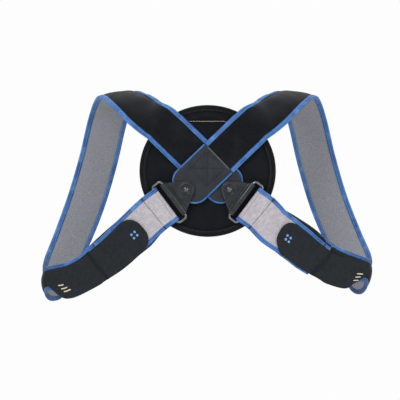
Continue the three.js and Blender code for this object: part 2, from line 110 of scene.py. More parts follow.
CLOSING_STEP = 7
CLOSING_FACE = 0.75
ARMPIT_REACH = 178.5
CHEST_DEPTH = 115
CREST_RISE = 84
ARMPIT_DROP = 127

# Worked out from those
EDGE = BAND_WIDTH / 2
LEG = EDGE - BINDING_REACH
STITCH_LINE = LEG + 1.3
PAD_SQUASH = PAD_HALF_HEIGHT / PAD_RADIUS
RIVET = (-RIVET_FROM_CROSSING * math.cos(STRAP_ANGLE),
         CROSSING_HEIGHT - RIVET_FROM_CROSSING * math.sin(STRAP_ANGLE))
FOLD_RADIUS = WIRE_RADIUS + GAP + WEB_EDGE_THICKNESS / 2
WIRE_OUT = BAND_THICKNESS + GAP / 2
WEB_OUT = BAND_THICKNESS + GAP + WEB_EDGE_THICKNESS / 2
RETURN_OUT = BAND_THICKNESS - WEB_EDGE_THICKNESS / 2
CLOSING_OUT = WEB_OUT + WEB_EDGE_THICKNESS / 2 + GAP + CLOSING_THICKNESS / 2
CLOSING_LOW_OUT = BAND_THICKNESS + GAP + CLOSING_THICKNESS / 2
BACK = np.array([0.0, -1.0, 0.0])

# What differs between the sides: order at the crossing, rise of the armpit, step of the ring across
# the pull, how far the fastening band runs aside, its length from the ring, the closing strap's tip
# from the ring, slant of the fastening band's far end, how far the band's outer edge is drawn in
# beside it, flare of the turn, the closing strap's reach below its line, and its printed bars (place
# along from the ring, place across, slant).
SIDES = (
    {"name": "left", "mirror": 1, "layer": 0, "lift": 0, "shift": 2, "drift": 4.5, "band": 100, "tip": 33,
     "slant": 5, "pinch": 0, "flare": 9, "cover": 22.7,
     "bars": ((-152.2, 4.5, -0.39), (-146.9, 7.6, -0.3), (-142.3, 10.7, -0.2))},
    {"name": "right", "mirror": -1, "layer": 1, "lift": 10, "shift": -1.5, "drift": 9.5, "band": 104,
     "tip": 41, "slant": 9, "pinch": 5, "flare": 6, "cover": 20.6,
     "bars": ((-155, 5.9, -0.35), (-152.2, 10.2, -0.4), (-149, 13.6, -0.43))},
)

# Route of a shoulder band, as in the solids. Columns: side, front and height as shares of
# ARMPIT_REACH, CHEST_DEPTH and CREST_RISE or ARMPIT_DROP; the outward direction; share of the lift.
ROUTE = np.array([
    (0.396, 0.065, 0.757, -0.1, -0.78, 0.6, 0),
    (0.484, 0.226, 0.895, -0.08, -0.45, 0.88, 0),
    (0.552, 0.47, 0.985, -0.12, -0.04, 0.98, 0),
    (0.594, 0.705, 0.892, -0.1, 0.55, 0.83, 0),
    (0.639, 0.87, 0.627, -0.18, 0.9, 0.4, 0),
    (0.695, 0.974, 0.148, -0.22, 0.97, 0.08, 0),
    (0.773, 1, -0.27, -0.27, 0.96, -0.04, 0),
    (0.862, 0.974, -0.61, -0.45, 0.88, -0.1, 0.3),
    (0.935, 0.861, -0.86, -0.72, 0.6, -0.35, 0.6),
    (0.968, 0.687, -0.985, -0.9, -0.1, -0.42, 0.75),
    (0.94, 0.496, -1, -0.86, -0.47, -0.1, 1),
    (0.85, 0.304, -0.965, -0.76, -0.62, 0.2, 1.35),
    (0.732, 0.17, -0.873, -0.53, -0.8, 0.26, 1.4),
    (0.6, 0.083, -0.718, -0.28, -0.95, 0.12, 1.35),
    (0.501, 0.026, -0.598, -0.13, -0.99, 0.04, 0.85),
    (0.408, -0.022, -0.489, -0.06, -1, 0, 0.35),
])
STEPS_A_ROW = 100
CLOSING_END_ROW = 14.8

# Bell curves along the path, as path row, height and spread. In the armpit the band is gathered up
# from its lower edge, and flares out towards that edge (its height is the side's).
GATHERED = ((14.7, 16, 15), (15.4, 8, 14), (13.85, -4, 13))
GATHER_WIDTH = 35
FLARED = (14.45, 16)
# The band's outer edge is drawn in beside the fastening band, and its inner one past the pad
PINCHED = (17.9, 46)
TRIMMED = ((4.4, 2.6, 13), (5.8, -1.6, 20))
# Painted shade on the bindings round the armpit's turn: path row, strength and spread
ARMPIT_SHADE = (14.2, 0.42, 34)
# From the ring out, the band's edges are turned in under its velour, and it narrows
TURNED_IN = (78, 96)
NARROWED = (20, 44)
NARROWING = 2.9


# Curves

def smoothstep(value, low, high):
    """0 up to low, 1 from high on, a smooth cubic between."""
    share = np.clip((value - low) / (high - low), 0, 1)
    return share * share * (3 - 2 * share)


def lerp(low, high, share):
    return low + (high - low) * share


def turns(count):
    """Equal steps round a full turn, without its end."""
    return np.linspace(0, 2 * math.pi, count, endpoint=False)


def unit(vectors):
    return vectors / np.linalg.norm(vectors, axis=-1, keepdims=True)


def length_along(points):
    """How far each point lies along the line through all of them."""
    return np.concatenate([[0], np.cumsum(np.linalg.norm(np.diff(points, axis=0), axis=1))])


def evenly(drawn, count):
    """Equally spaced points round a flat outline whose last point is its first."""
    lengths = length_along(drawn)
    spots = np.linspace(0, lengths[-1], count, endpoint=False)
    return np.stack([np.interp(spots, lengths, drawn[:, k]) for k in (0, 1)], 1)


def superellipse(angle, power):
    """Cosine and sine of the angle, each raised to 2 / power with its sign kept."""
    wide, high = np.cos(angle), np.sin(angle)
    return np.sign(wide) * np.abs(wide) ** (2 / power), np.sign(high) * np.abs(high) ** (2 / power)


# Materials

class Socket:
    """An output in a material's node tree; arithmetic on it adds Math nodes."""

    def __init__(self, finish, link):
        self.finish = finish
        self.link = link

    def maths(self, operation, *values):
        return self.finish.node("ShaderNodeMath", {"operation": operation}, dict(enumerate(values)))

    def __add__(self, other):
        return self.maths("ADD", self, other)

    def __sub__(self, other):
        return self.maths("SUBTRACT", self, other)

    def __rsub__(self, other):
        return self.maths("SUBTRACT", other, self)

    def __mul__(self, other):
        return self.maths("MULTIPLY", self, other)

    __radd__ = __add__
    __rmul__ = __mul__


class Finish:
    """One material: its node tree, and its shader with the sockets that stay constant."""

    def __init__(self, name, **constants):
        self.material = bpy.data.materials.new(name)
        self.material.use_nodes = True
        self.tree = self.material.node_tree
        self.shader = self.tree.nodes["Principled BSDF"]
        for key, value in constants.items():
            self.shader.inputs[key.replace("_", " ").title().replace("Ior", "IOR")].default_value = value

    def node(self, kind, settings=None, sockets=None, output=0):
        """Adds a node: its settings are set first, then its sockets get values or links."""
        made = self.tree.nodes.new(kind)
        for key, value in (settings or {}).items():
            setattr(made, key, value)
        for key, value in (sockets or {}).items():
            if isinstance(value, Socket):
                self.tree.links.new(value.link, made.inputs[key])
            else:
                made.inputs[key].default_value = value
        return Socket(self, made.outputs[output])

    def place(self):
        return self.node("ShaderNodeTexCoord", output="Object")

    def run(self):
        """Across and along the piece in millimetres, from its own map."""
        uv = self.node("ShaderNodeUVMap", {"uv_map": "run"})
        across, along = (self.node("ShaderNodeSeparateXYZ", None, {0: uv}, axis) for axis in (0, 1))
        return (across - 0.5) * 1000, along * 1000

    def shade(self):
        return self.node("ShaderNodeAttribute", {"attribute_name": "shade"}, output="Fac")

    def noise(self, scale, detail=2, vector=None, rough=0.5):
        """Cloudy pattern about 1 / scale metres wide."""
        sockets = {"Vector": vector or self.place(), "Scale": scale, "Detail": detail, "Roughness": rough}
        return self.node("ShaderNodeTexNoise", None, sockets, "Fac")

    def between(self, value, low, high):
        """0 below low, 1 above high, straight between."""
        return self.node("ShaderNodeMapRange", None, {0: value, 1: low, 2: high})

    def wave(self, value, pitch):
        """A wave from 0 to 1 with the given pitch."""
        turn = value * (2 * math.pi / pitch)
        return turn.maths("SINE", turn) * 0.5 + 0.5

    def mix(self, first, second, share):
        """Mix of two colours, each a socket or a screen colour from 0 to 255."""
        first, second = (value if isinstance(value, Socket) else linear(value) for value in (first, second))
        return self.node("ShaderNodeMix", {"data_type": "RGBA"}, {0: share, 6: first, 7: second}, 2)

    def feed(self, key, value):
        self.tree.links.new(value.link, self.shader.inputs[key])

    def paint(self, first, second, share):
        self.feed("Base Color", self.mix(first, second, share))

    def bump(self, height, distance, strength=1.0):
        """Bump of a height from 0 to 1 that stands so many millimetres high."""
        sockets = {"Strength": strength, "Distance": distance / 1000, "Height": height}
        self.feed("Normal", self.node("ShaderNodeBump", None, sockets))


def linear(colour):
    """Linear colour of a screen colour from 0 to 255."""
    screen = np.array(colour) / 255
    return (*np.where(screen < 0.04045, screen / 12.92, ((screen + 0.055) / 1.055) ** 2.4).tolist(), 1.0)


def velour_finish(name, dark, light, pile):
    """Short pile: fine grains that catch light, brushed in wide soft patches."""
    finish = Finish(name, roughness=0.92, sheen_weight=0.25, sheen_roughness=0.4, specular_ior_level=0.15)
    grain = finish.noise(1600, 3, rough=0.7)
    patches = finish.noise(55)
    share = finish.between(grain, 0.45, 0.7) * 0.6 + finish.between(patches, 0.42, 0.7) * 0.2
    finish.paint(dark, light, share)
    finish.bump(grain + patches * 0.3, pile, 0.7)
    return finish.material


def binding_finish(name, base, light, painted_shade_colour):
    """Woven tape: fine ribs across it and wider lines along it, the lines painted paler as highlight
    streaks, with painted highlight and painted shade in long soft patches; near-black where its
    shade says so."""
    finish = Finish(name, roughness=0.7, sheen_weight=0.15, sheen_roughness=0.5, specular_ior_level=0.25)
    across, along = finish.run()
    ribs = finish.wave(along + across * 0.35, 0.75)
    lines = finish.wave(across, 2.5)
    # Painted highlight: soft patches and the lines along the tape mix toward the light colour; painted
    # shade: other soft patches mix toward the shade colour
    pale = finish.between(finish.noise(90), 0.5, 0.7) * 0.4 + ribs * 0.1 + lines * 0.35
    shaded = finish.between(finish.noise(60), 0.48, 0.62) * (0.75 - lines * 0.5)
    tape = finish.mix(finish.mix(base, light, pale), painted_shade_colour, shaded)
    # Near-black by the shade attribute: painted shade round the armpit, and the velour's colour where the
    # band's edges turn in near the ring
    finish.paint(tape, (17, 19, 23), finish.shade())
    finish.bump(ribs * 0.6 + lines * 0.4, 0.12, 0.6)
    return finish.material


def webbing_finish(name):
    """Loop webbing: a close mesh of threads under a fuzz of loops, faintly mottled."""
    finish = Finish(name, roughness=0.85, sheen_weight=0.2, sheen_roughness=0.5, specular_ior_level=0.2)
    across, along = finish.run()
    mesh = finish.wave(along, 1.0) * finish.wave(across, 1.1)
    loops = finish.noise(1100, 3, rough=0.65)
    mottle = finish.between(finish.noise(260, 3, rough=0.7), 0.42, 0.62)
    share = finish.between(loops, 0.4, 0.65) * 0.45 + mottle * 0.4 + mesh * 0.15
    finish.paint((174, 168, 175), (212, 206, 211), share)
    finish.bump(loops * 0.7 + mesh * 0.3, 0.25, 0.7)
    return finish.material


def hook_strap_finish(name):
    """Hook strap: flat black weave with ribs both ways, mottled; painted shade in its crease."""
    finish = Finish(name, roughness=0.8, specular_ior_level=0.3)
    across, along = finish.run()
    ribs = finish.wave(along, 0.8) * 0.5 + finish.wave(across, 0.8) * 0.5
    mottle = finish.noise(260, 3)
    share = ribs * 0.3 + finish.between(mottle, 0.35, 0.7) * 0.5
    woven = finish.mix((22, 27, 31), (38, 44, 50), share)
    # Painted shade: the crease is mixed toward near-black by the piece's shade
    finish.paint(woven, (9, 10, 11), finish.shade())
    finish.bump(ribs * 0.6 + mottle * 0.4, 0.15, 0.6)
    return finish.material


def leatherette_finish(name):
    """Coated cloth: pebbled cells with creases between them, glossier on the pebbles."""
    finish = Finish(name, specular_ior_level=0.4)
    sockets = {"Vector": finish.place(), "Scale": 750.0}
    cells = finish.node("ShaderNodeTexVoronoi", {"feature": "DISTANCE_TO_EDGE"}, sockets)
    pebbles = finish.between(cells, 0.0, 0.25)
    patches = finish.noise(70, 3)
    share = pebbles * 0.3 + finish.between(patches, 0.35, 0.7) * 0.5
    finish.paint((24, 29, 34), (45, 52, 59), share)
    finish.feed("Roughness", 0.72 - pebbles * 0.16 - patches * 0.08)
    finish.bump(pebbles * 0.8 + patches * 0.6, 0.12, 0.6)
    return finish.material


def plastic_finish(name):
    """Moulded plastic with a fine spark-eroded texture, rubbed paler in places."""
    finish = Finish(name, specular_ior_level=0.5)
    rubbed = finish.noise(120, 3)
    finish.paint((26, 29, 32), (46, 51, 56), finish.between(rubbed, 0.4, 0.75))
    finish.feed("Roughness", 0.24 + rubbed * 0.16)
    finish.bump(finish.noise(1500), 0.03, 0.5)
    return finish.material


def metal_finish(name, base, worn, rough):
    """Plated wire: polished, with faint draw marks and dull spots."""
    finish = Finish(name, metallic=1.0)
    drawn = finish.node("ShaderNodeMapping", None, {"Vector": finish.place(), "Scale": (1, 1, 6)})
    marks = finish.noise(300, 3, drawn)
    finish.paint(base, worn, finish.between(marks, 0.4, 0.7))
    finish.feed("Roughness", marks * 0.12 + rough)
    finish.bump(marks, 0.01, 0.4)
    return finish.material


def lining_finish(name):
    """Brushed knit: short fibres over fine courses."""
    finish = Finish(name, roughness=0.9, sheen_weight=0.3, specular_ior_level=0.15)
    across, along = finish.run()
    fibres = finish.noise(900, 4, rough=0.7)
    courses = finish.wave(along, 1.4) * finish.wave(across, 1.2)
    share = finish.between(fibres, 0.35, 0.7) * 0.6 + courses * 0.2
    finish.paint((128, 130, 137), (186, 187, 192), share)
    finish.bump(fibres * 0.7 + courses * 0.3, 0.25, 0.7)
    return finish.material


def grained_finish(name, dark, light, grains, detail, depth, **constants):
    """Fine light and dark grains: the turns of a thread, or the matt face of a rubber print."""
    finish = Finish(name, **constants)
    grain = finish.noise(grains, detail)
    finish.paint(dark, light, finish.between(grain, 0.35, 0.65))
    finish.bump(grain, depth, 0.4)
    return finish.material


def thread_finish(name, dark, light):
    return grained_finish(name, dark, light, 2500, 1, 0.05, roughness=0.65, sheen_weight=0.2)


def print_finish(name, dark, light):
    return grained_finish(name, dark, light, 700, 2, 0.04, roughness=0.5)


def floor_finish():
    finish = Finish("floor", roughness=0.9, specular_ior_level=0.1)
    finish.paint([234.9] * 3, [238.6] * 3, finish.noise(3))
    return finish.material


# Each finish: its name, the material slot it goes with, how it is made, its colours and its sizes
FINISH = {name: (make(name, *values), slot) for name, slot, make, *values in (
    ("velour", "velour", velour_finish, (10, 12, 15), (42, 46, 53), 0.4),
    ("pad_velour", "velour", velour_finish, (13, 16, 19), (34, 38, 42), 0.3),
    ("pad_rim", "pad_rim", velour_finish, (12, 14, 16), (36, 39, 43), 0.15),
    ("label", "label", velour_finish, (10, 11, 13), (24, 26, 29), 0.08),
    ("lining", "lining", lining_finish),
    # The binding's second colour is painted highlight and its third painted shade
    ("binding", "binding", binding_finish, (46, 98, 168), (112, 162, 218), (34, 64, 130)),
    ("leatherette", "leatherette", leatherette_finish),
    ("plastic", "plastic", plastic_finish),
    ("rivet", "rivet", metal_finish, (84, 86, 90), (136, 138, 142), 0.1),
    ("steel", "steel", metal_finish, (112, 114, 117), (160, 162, 165), 0.15),
    ("webbing", "webbing", webbing_finish),
    ("closing_strap", "closing_strap", hook_strap_finish),
    ("blue_thread", "binding", thread_finish, (48, 96, 168), (120, 168, 226)),
    ("dark_thread", "closing_strap", thread_finish, (14, 16, 18), (34, 37, 40)),
    ("grey_thread", "webbing", thread_finish, (60, 62, 64), (104, 104, 104)),
    ("cream_thread", "webbing", thread_finish, (176, 164, 150), (220, 210, 196)),
    ("blue_print", "binding", print_finish, (96, 150, 212), (140, 186, 235)),
    ("cream_print", "webbing", print_finish, (226, 216, 178), (243, 236, 208)),
)}


# Meshes

def add_object(name, data):
    made = bpy.data.objects.new(name, data)
    bpy.context.scene.collection.objects.link(made)
    return made


def faces_of(rows, columns, width, looped=False):
    """Quads between neighbouring rows of closed sections, and a face at each end unless the last row
    joins the first. The numbers of a row's points start at the row's number times width."""
    row, column = np.arange(rows if looped else rows - 1)[:, None], np.arange(columns)
    after, here, below = (column + 1) % width, row * width, (row + 1) % rows * width
    quads = np.stack([here + column, here + after, below + after, below + column], -1).reshape(-1, 4)
    return [quads] if looped else [quads, np.stack([column[::-1], (rows - 1) * width + column])]


def inward(points, groups):
    """True if the faces of the closed surface look inwards: its signed volume is negative."""
    volume = 0
    for corner in (points[group] for group in groups):
        for k in range(1, corner.shape[1] - 1):
            volume += np.einsum("ij,ij->", corner[:, 0], np.cross(corner[:, k], corner[:, k + 1]))
    return volume < 0


def add_piece(name, stacks, finish, node=None, run=None, looped=False):
    """A piece of closed skins. Each stack is skins x rows x columns x 3, in millimetres; a skin's
    ends get one face each, unless it is looped. run is across (rows x columns) and along (rows x 1)
    for the one open skin of a piece whose finish reads them."""
    points, groups, offset = [], [], 0
    for stack in stacks:
        skins, rows, columns = stack.shape[:3]
        first = rows * columns * np.arange(skins)[:, None, None]
        skin = faces_of(rows, columns, columns, looped)
        faces = [(group + first).reshape(-1, group.shape[1]) for group in skin]
        points.append(stack.reshape(-1, 3))
        step = -1 if inward(points[-1], faces) else 1
        groups += [group[:, ::step] + offset for group in faces]
        offset += len(points[-1])
    corners = np.concatenate([group.ravel() for group in groups])
    counts = np.concatenate([np.full(len(group), group.shape[1]) for group in groups])
    mesh = bpy.data.meshes.new(name)
    mesh.vertices.add(offset)
    mesh.vertices.foreach_set("co", (np.concatenate(points) / 1000).astype(np.float32).ravel())
    mesh.loops.add(len(corners))
    mesh.loops.foreach_set("vertex_index", corners.astype(np.int32))
    mesh.polygons.add(len(counts))
    mesh.polygons.foreach_set("loop_start", (np.cumsum(counts) - counts).astype(np.int32))
    mesh.polygons.foreach_set("use_smooth", np.ones(len(counts), bool))
    if run is not None:
        across, along = np.broadcast_arrays(np.concatenate([run[0], run[0][:, :1]], 1), run[1])
        places = np.stack([across / 1000 + 0.5, along / 1000], -1).reshape(-1, 2)
        skin = faces_of(rows, columns, columns + 1)
        places = places[np.concatenate([group[:, ::step].ravel() for group in skin])]
        mesh.uv_layers.new(name="run").data.foreach_set("uv", places.astype(np.float32).ravel())
    mesh.update(calc_edges=True)
    mesh.validate()
    material, slot = FINISH[finish]
    mesh.materials.append(material)
    piece = add_object(name, mesh)
    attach(piece, "root")
    if node:
        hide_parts(node)
    return piece


def tube(name, grid, finish, node=None, run=None, looped=False):
    return add_piece(name, [grid[None]], finish, node, run, looped)


def add_shade(piece, share, columns):
    """Painted shade from 0 to 1, rows x columns or rows x 1, read by the piece's finish; on a shoulder
    band's binding it also gives the velour's colour where the edges turn in near the ring.
    """
    shade = piece.data.attributes.new("shade", "FLOAT", "POINT")
    shade.data.foreach_set("value", np.broadcast_to(share, (len(share), columns)).astype(np.float32).ravel())


def stitches(places, along, outward, length, radius):
    """A stack of spindles, one a stitch: four rings of six points round its own line."""
    share, width = np.array([(-0.5, -0.3, 0.3, 0.5), (0.35, 1, 1, 0.35)])[..., None, None]
    places, along, outward = (value[:, None, None] for value in (places, along, outward))
    angle = turns(6)[:, None]
    round_it = np.cos(angle) * outward + np.sin(angle) * np.cross(along, outward)
    return places + along * share * length + round_it * width * radius


# Places

def on_flat(origin, angle, along, across, level):
    """Places in a plane that faces back: along a line that falls by angle to the left from its
    origin (x, z), across it downwards, and level behind the seat."""
    x = origin[0] - along * math.cos(angle) + across * math.sin(angle)
    z = origin[1] - along * math.sin(angle) - across * math.cos(angle)
    return np.stack(np.broadcast_arrays(x, -level, z), -1)


def on_tab(along, across, level):
    """Places on the strap, from the crossing up it."""
    return on_flat((0, CROSSING_HEIGHT), -STRAP_ANGLE, along, across, level)


def on_buckle(along, across, level):
    """Places on the buckle, from its rivet down the pull."""
    return on_flat(RIVET, PULL_ANGLE, along, across, level)


def strap_level(layer):
    return PAD_THICKNESS + GAP + layer * (TAB_THICKNESS + GAP)


class SeatPath:
    """The line on the wearer that a shoulder band lies on: a Catmull-Rom curve through rows, and a
    second one for the outward directions."""

    def __init__(self, rows, outwards, flare):
        self.rows = rows
        self.outwards = outwards
        self.flare = flare
        self.steps = np.linspace(0, len(rows) - 1, STEPS_A_ROW * (len(rows) - 1) + 1)
        self.table = length_along(self.curve(rows, self.steps)[0])
        self.length = self.table[-1]

    @staticmethod
    def curve(rows, step):
        """Cubic between rows i and i + 1 whose end slopes are half the chord of their neighbours."""
        ends = np.vstack([2 * rows[0] - rows[1], rows, 2 * rows[-1] - rows[-2]])
        row = np.clip(np.floor(step), 0, len(rows) - 2).astype(int)
        w = (step - row)[:, None]
        before, start, end, after = (ends[row + k] for k in range(4))
        slope, last = (end - before) / 2, (after - start) / 2
        cubic, square = 2 * start - 2 * end + slope + last, 3 * end - 3 * start - 2 * slope - last
        return ((cubic * w + square) * w + slope) * w + start, (3 * cubic * w + 2 * square) * w + slope

    def at(self, distance):
        """Seat, along, outward and across at each distance; beyond the ends it runs straight on."""
        inside = np.clip(distance, 0, self.length)
        step = np.interp(inside, self.table, self.steps)
        seat, along = self.curve(self.rows, step)
        along = unit(along)
        outward = self.curve(self.outwards, step)[0]
        outward = unit(outward - along * np.sum(outward * along, 1)[:, None])
        return seat + along * (distance - inside)[:, None], along, outward, np.cross(along, outward)

    def of_row(self, row):
        return self.table[round(STEPS_A_ROW * row)]

    def bell(self, distance, row, height, spread):
        return height * np.exp(-((distance - self.of_row(row)) / spread) ** 2)

    def place(self, distance, across, out, turn=0.0, lift=0.0):
        """Points at a distance along, across and out from the seat; out leans along the path by
        turn, and lift goes straight out before that. In the armpit the band is gathered up from
        its lower edge and its lower part flares out, both by bell curves along the path."""
        values = np.broadcast_arrays(distance, across, out, turn, lift)
        distance, across, out, turn, lift = (value.ravel().astype(float) for value in values)
        seat, along, outward, sideways = self.at(distance)
        lower = np.clip(0.5 + across / BAND_WIDTH, 0, 1.1)
        row, spread = FLARED
        lift = lift + self.bell(distance, row, self.flare, spread) * (1 - (1 - lower) ** 3)
        gathered = sum(self.bell(distance, *bell) for bell in GATHERED)
        across = across - gathered * np.clip(across / GATHER_WIDTH + 0.5, 0, 1)
        facing = outward * np.cos(turn)[:, None] + along * np.sin(turn)[:, None]
        points = seat + outward * lift[:, None] + sideways * across[:, None] + facing * out[:, None]
        return points.reshape(*values[0].shape, 3)


def seat_path(side):
    """Rows up the strap and over the pad's rim, the worn route, and two rows down the pull."""
    rim_start, rim_level = PAD_RADIUS - 2 * RIM_WIDTH, RIM_THICKNESS + GAP
    upper = ((SEAM, side.level), (SEAM + 12, side.level), (rim_start - 17, strap_level(0)),
             (rim_start, rim_level), (PAD_RADIUS - RIM_ROUNDING, rim_level))
    on_pad = [on_tab(along, 0, level) for along, level in upper]
    ring_axis = BARREL_PLACE + RING_DEPTH
    at_ring = [on_buckle(along, side.shift, RING_LEVEL - WIRE_OUT) for along in (ring_axis + 16, ring_axis)]
    heights = np.where(ROUTE[:, 2] > 0, CREST_RISE, ARMPIT_DROP) * ROUTE[:, 2] + ROUTE[:, 6] * side.lift
    worn = np.stack([-ROUTE[:, 0] * ARMPIT_REACH, ROUTE[:, 1] * CHEST_DEPTH, heights], 1)
    outwards = [[BACK] * len(on_pad), unit(ROUTE[:, 3:6]), [BACK] * len(at_ring)]
    return SeatPath(np.vstack([on_pad, worn, at_ring]), np.vstack(outwards), side.flare)


class Side:
    """Left or right half of the brace: its sizes, its path, and how its pieces are added. Pieces are
    worked out as for the left; the right ones are mirrored."""

    def __init__(self, **sizes):
        vars(self).update(sizes)
        self.level = strap_level(self.layer)
        self.plate_level = strap_level(1 - self.layer) + TAB_THICKNESS + GAP
        self.path = seat_path(self)
        self.closing_end = self.path.of_row(CLOSING_END_ROW)

    def skins(self, label, stacks, finish, node=None, run=None, looped=False):
        stacks = [stack * (self.mirror, 1, 1) for stack in stacks]
        node = node and f"{self.name}_{node}"
        return add_piece(f"{self.name}_{label}", stacks, finish, node, run, looped)

    def tube(self, label, grid, finish, node=None, run=None, looped=False):
        return self.skins(label, [grid[None]], finish, node, run, looped)

    def threads(self, label, rows, finish, length, radius):
        """Rows of stitches, each row as places, directions along and directions outward."""
        places, along, outward = (np.concatenate(part) for part in zip(*rows))
        return self.skins(label, [stitches(places, along, outward, length, radius)], finish)


# Shoulder bands

def drawn_in(side, distance, across):
    """How far the shoulder band's edge lies inside its full width: both edges near its end, the
    outer one beside the fastening band, and the inner one where the band leaves the pad."""
    near_end = NARROWING * (1 - smoothstep(side.path.length - distance, *NARROWED))
    row, spread = PINCHED
    pinch = side.path.bell(distance, row, side.pinch, spread)
    trim = sum(side.path.bell(distance, *bell) for bell in TRIMMED)
    return near_end + np.where(np.asarray(across) < 0, pinch, trim)


def thickness_share(distance):
    """The band is pressed flat at its seam and full further out."""
    return lerp(TAB_THICKNESS / BAND_THICKNESS, 1, smoothstep(distance, 9, 24))


def swell(across):
    """How the padding rises between the bindings: a dome that falls off close to them."""
    return np.clip(1 - np.abs(across / SWELL_HALF) ** 3, 0, 1) ** 0.75


def ripples(across, distance, phase):
    """Soft unevenness of stuffed cloth: crossed waves of unlike lengths."""
    return (np.sin(distance / 5.3 + across / 9 + phase) * np.sin(distance / 13 - across / 6 + 2 * phase)
            + 0.6 * np.sin(distance / 3.1 - across / 4.1 + 3 * phase) * np.sin(across / 5 + distance / 21))


def band_rows(side, spacing=1.7):
    """Distances of the band's sections, as a column."""
    end = side.path.length - BAND_FROM_RING
    return np.linspace(0, end, int(end / spacing) + 1)[:, None]


def between_bindings(side, far, domed, flat):
    """Across for sections that go over a domed face in so many columns and back over a flat one,
    drawn in with the band's edges, and which of the columns are domed."""
    over, under = np.linspace(-FACE_HALF, FACE_HALF, domed), np.linspace(UNDER_HALF, -UNDER_HALF, flat)
    across = np.concatenate([over, under])
    return across * (1 - drawn_in(side, far, across) / EDGE), np.arange(domed + flat) < domed


def band_face(side):
    """Velour over foam: a section with a domed top, fuller where nothing lies on it."""
    low, seam, least, most = 2.15, 4.3, 1.5, 2.9
    far = band_rows(side)
    across, domed = between_bindings(side, far, 45, 7)
    free = 1 - smoothstep(far, side.closing_end - 25, side.closing_end)
    rise = lerp(least, most, free * smoothstep(far, 10, 60)) + 0.16 * free * ripples(across, far, 1.3)
    out = np.where(domed, seam + rise * swell(across), low) * thickness_share(far)
    grid = side.path.place(far, across, out)
    side.tube("band_face", grid, "velour", "shoulder_band", (across, far))


def band_inside(side):
    """Lining: domed towards the wearer between the bindings."""
    high, seam, most = 1.95, 1.55, 1.2
    far = band_rows(side, 2.4)
    across, domed = between_bindings(side, far, 29, 5)
    sink = most - 0.1 * ripples(across, far, 2.2)
    out = np.where(domed, seam - sink * swell(across), high) * thickness_share(far)
    grid = side.path.place(far, across, out)
    piece = side.tube("band_inside", grid, "lining", "band_lining", (across, far))


def band_edge(side, name, hand):
    """Binding folded over one edge: the outer skin is half a superellipse, the inner skin a
    smaller one; a shallow groove runs under the stitches, and the tape puckers in waves."""
    far = band_rows(side)
    reach, height = superellipse(np.linspace(-math.pi / 2, math.pi / 2, 21), 2.8)
    outer = np.stack([LEG + BINDING_REACH * reach, BAND_MIDDLE + BINDING_HALF * height])
    inner = np.stack([LEG + (BINDING_REACH - 0.7) * reach, BAND_MIDDLE + (BINDING_HALF - 0.75) * height])
    outer[1] -= 0.3 * np.exp(-((outer[0] - STITCH_LINE) / 0.6) ** 2) * np.sign(height)
    line, level = np.concatenate([outer, inner[:, ::-1]], 1)
    across = hand * (line - drawn_in(side, far, hand))
    pucker = 1 + 0.035 * np.sin(far / 2.4 + hand) * np.sin(far / 7.7)
    grid = side.path.place(far, across, level * thickness_share(far) * pucker)
    piece = side.tube(f"band_edge_{name}", grid, "binding", f"band_binding_{name}", (across, far))
    turned_in = 1 - smoothstep(side.path.length - far, *TURNED_IN)
    # Painted shade round the armpit's turn; near the ring, the velour's colour where the edges turn in
    add_shade(piece, np.maximum(turned_in, side.path.bell(far, *ARMPIT_SHADE)), len(line))


def band_edges(side):
    band_edge(side, "inner", 1)
    band_edge(side, "outer", -1)


def band_stitches(side):
    """One thread row on each leg of each binding."""
    distance = np.arange(4, side.path.length - TURNED_IN[1], 3.0)
    _, along, outward, _ = side.path.at(distance)
    rows = []
    for hand in (-1, 1):
        line = hand * (STITCH_LINE - drawn_in(side, distance, hand))
        for face in (1, -1):
            level = (BAND_MIDDLE + face * (BINDING_HALF - 0.15)) * thickness_share(distance)
            rows.append((side.path.place(distance, line, level), along, outward * face))
    side.threads("band_stitches", rows, "blue_thread", length=2.1, radius=0.32)


# Strap ends

def tab_outline(margin, count):
    """Points round a strap end, a margin inside it: straight at its root, two round corners at its
    tip."""
    half, tip, corner, root = EDGE - margin, margin - TAB_LENGTH, TAB_CORNER - margin, SEAM - GAP
    quarter = np.linspace(0, math.pi / 2, 24)
    first = np.stack([tip + corner - corner * np.sin(quarter), half - corner + corner * np.cos(quarter)], 1)
    drawn = [[[root, half]], first, first[::-1] * (1, -1), [[root, -half]], [[root, half]]]
    return evenly(np.concatenate(drawn), count)


def strap_end(side):
    """Leatherette: rings that shrink from the outline to a middle line, crowned, with grooves
    under the box of stitches and its two diagonals."""
    outline = tab_outline(PIPING_WIDTH - 0.2, 150)
    middle = np.stack([np.clip(outline[:, 0], 23 - TAB_LENGTH, SEAM - GAP - 20), 0 * outline[:, 1]], 1)
    top = np.linspace(0.02, 0.94, 44)
    share = np.concatenate([top, [0.97, 0.99, 1, 1, 0.9, 0.5, 0.02]])[:, None, None]
    height = np.concatenate([2.05 - 0.25 * top ** 6, [1.7, 1.45, 1.1, 0.3, 0.05, 0, 0]])[:, None]
    along, across = np.moveaxis(lerp(middle, outline, share), -1, 0)
    square = np.maximum(np.abs(along), np.abs(across))
    diagonal = np.minimum(np.abs(along - across), np.abs(along + across)) / math.sqrt(2)
    nearest = np.minimum(np.abs(square - BOX_HALF), np.where(square > CROSS_HALF, PAD_RADIUS, diagonal))
    groove = 0.3 * np.exp(-(nearest / 0.9) ** 2)
    groove[len(top):] = 0
    side.tube("tab", on_tab(along, across, side.level + height - groove), "leatherette", "strap_end")


